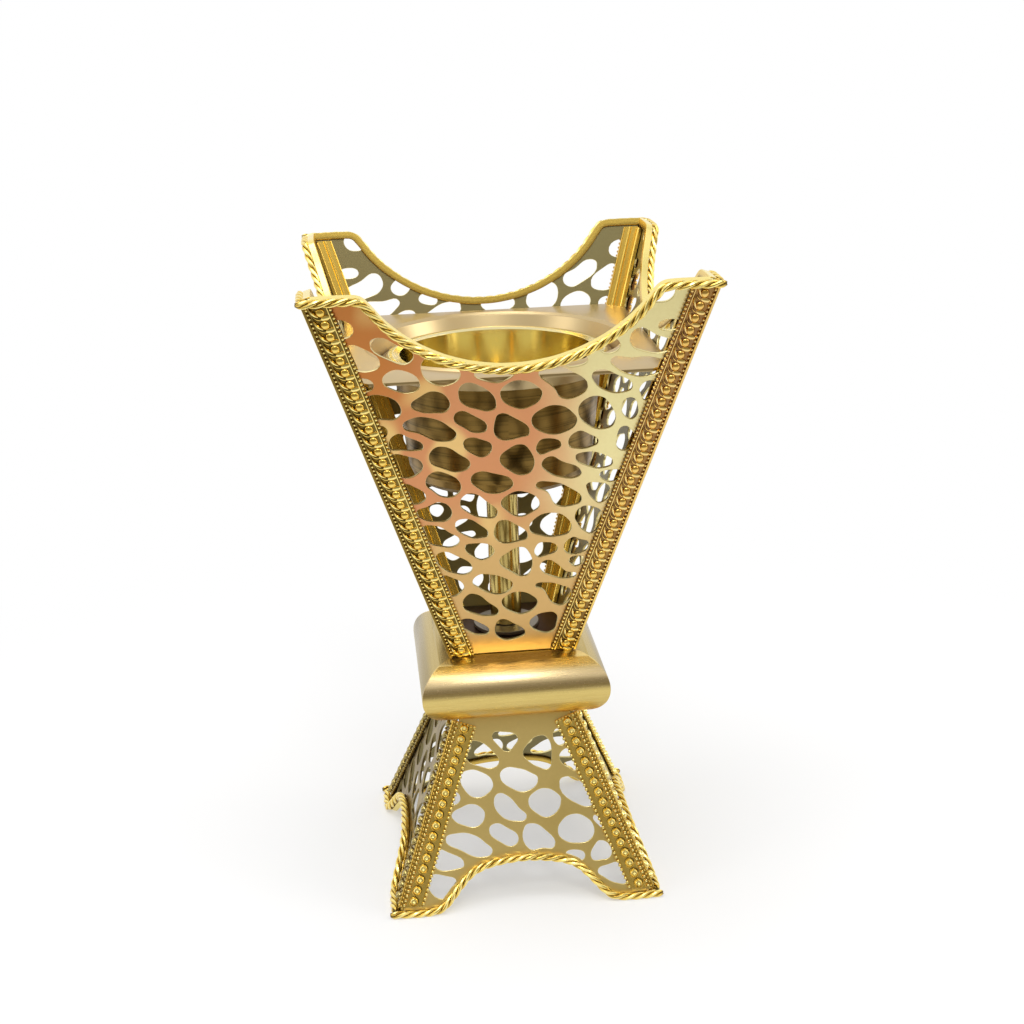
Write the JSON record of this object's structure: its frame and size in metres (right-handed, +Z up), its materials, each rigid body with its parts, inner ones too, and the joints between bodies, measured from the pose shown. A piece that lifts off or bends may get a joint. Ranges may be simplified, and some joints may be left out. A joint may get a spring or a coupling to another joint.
{
  "type": "incense burner",
  "caption": "Pierced square mabkhara: flared body over a pillow collar and an arched, footed base, with beaded corner strips, rope trim, a sunken tray and a lift-out charcoal cup.",
  "frame": {"origin": "on the floor, under the middle of the burner", "axes": "+Z up; the front face looks along -Y; +X to the right of someone who faces the front"},
  "size_m": [0.124, 0.124, 0.2117],
  "materials": {
    "body_sheet": "rose-gold satin sheet, finely rolled",
    "base_sheet": "pale gold satin sheet",
    "rope_trim": "gold-plated twisted wire",
    "corner_strip": "stamped beaded strip, gold with dark recesses",
    "inner_trim": "smooth polished gold angle",
    "collar_brass": "brushed gold",
    "stem_brass": "polished gold tube",
    "tray_brass": "satin champagne gold",
    "holder_brass": "brushed gold, darker",
    "cup_brass": "polished gold",
    "floor_steel": "browned steel sheet",
    "hardware": "plain zinc-plated fasteners"
  },
  "bodies": {
    "burner": {"body_panel_front": "body_sheet", "body_rope_front": "rope_trim", "base_panel_front": "base_sheet", "base_rope_front": "rope_trim", "body_strip_front_left": "corner_strip", "base_strip_front_left": "corner_strip", "body_strip_front_right": "corner_strip", "base_strip_front_right": "corner_strip", "body_panel_right": "body_sheet", "body_rope_right": "rope_trim", "base_panel_right": "base_sheet", "base_rope_right": "rope_trim", "body_strip_right_left": "corner_strip", "base_strip_right_left": "corner_strip", "body_strip_right_right": "corner_strip", "base_strip_right_right": "corner_strip", "body_panel_back": "body_sheet", "body_rope_back": "rope_trim", "base_panel_back": "base_sheet", "base_rope_back": "rope_trim", "body_strip_back_left": "corner_strip", "base_strip_back_left": "corner_strip", "body_strip_back_right": "corner_strip", "base_strip_back_right": "corner_strip", "body_panel_left": "body_sheet", "body_rope_left": "rope_trim", "base_panel_left": "base_sheet", "base_rope_left": "rope_trim", "body_strip_left_left": "corner_strip", "base_strip_left_left": "corner_strip", "body_strip_left_right": "corner_strip", "base_strip_left_right": "corner_strip", "inner_angle_front_right": "inner_trim", "inner_angle_right_back": "inner_trim", "inner_angle_back_left": "inner_trim", "inner_angle_left_front": "inner_trim", "collar": "collar_brass", "base_top_plate": "base_sheet", "body_floor_plate": "floor_steel", "lower_washer": "hardware", "lower_nut": "hardware", "tie_rod": "hardware", "stem_flange": "hardware", "stem_tube": "stem_brass", "upper_washer": "hardware", "upper_nut": "hardware", "tray_plate": "tray_brass", "cup_holder": "holder_brass"},
    "cup": {"charcoal_cup": "cup_brass"}
  },
  "joints": [
    {"name": "cup_lift", "type": "slide", "parent": "burner", "child": "cup", "axis": [0, 0, 1], "range_m": [0, 0.07]}
  ]
}
